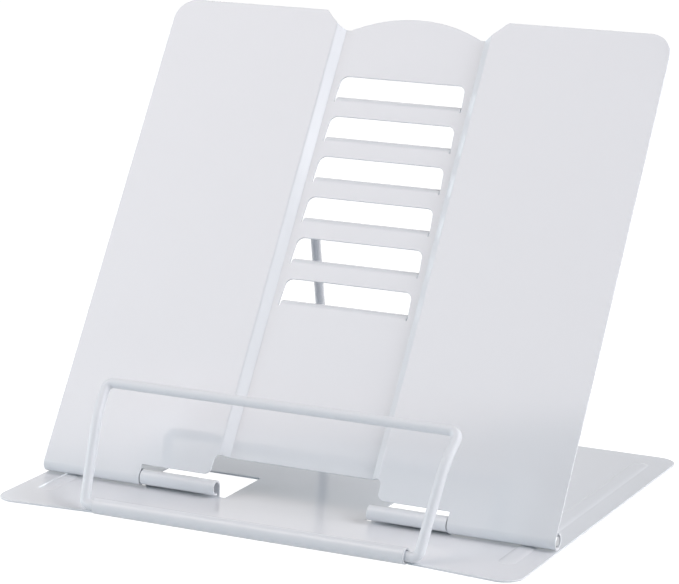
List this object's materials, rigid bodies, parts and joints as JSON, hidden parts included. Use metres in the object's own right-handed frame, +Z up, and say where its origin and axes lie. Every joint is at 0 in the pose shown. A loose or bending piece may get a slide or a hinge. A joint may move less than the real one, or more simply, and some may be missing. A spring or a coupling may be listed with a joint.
{
  "type": "book stand",
  "caption": "Folding desk stand for a book: a slotted metal back panel leans on a wire prop, with a wire page holder in front.",
  "frame": {"origin": "on the desk, under the middle of the stand", "axes": "+X to the reader's right along the hinge, +Y from the reader to the rear, +Z up"},
  "size_m": [0.21, 0.1728, 0.1727],
  "materials": {
    "base_coating": "white powder coating, semi-gloss",
    "panel_coating": "white powder coating, semi-gloss",
    "pin_steel": "zinc-plated steel",
    "page_holder_coating": "white powder coating, semi-gloss",
    "prop_coating": "white powder coating, semi-gloss"
  },
  "bodies": {
    "base": {"base_plate": "base_coating"},
    "panel": {"back_panel": "panel_coating", "hinge_pin_left": "pin_steel", "hinge_pin_right": "pin_steel"},
    "page_holder": {"page_holder": "page_holder_coating"},
    "prop": {"prop": "prop_coating"}
  },
  "joints": [
    {"name": "panel_hinge", "type": "hinge", "parent": "base", "child": "panel", "pos_m": [0, -0.047, 0.0046], "axis": [1, 0, 0], "range_deg": [0, 41]},
    {"name": "prop_hinge", "type": "hinge", "parent": "base", "child": "prop", "pos_m": [0, 0.0834, 0.003], "axis": [1, 0, 0], "range_deg": [0, 51.5]},
    {"name": "page_holder_hinge", "type": "hinge", "parent": "base", "child": "page_holder", "pos_m": [0, -0.0834, 0.003], "axis": [1, 0, 0], "range_deg": [0, 110]}
  ],
  "couplings": [
    {"joint": "prop_hinge", "follows": "panel_hinge", "ratio": 1.25}
  ]
}
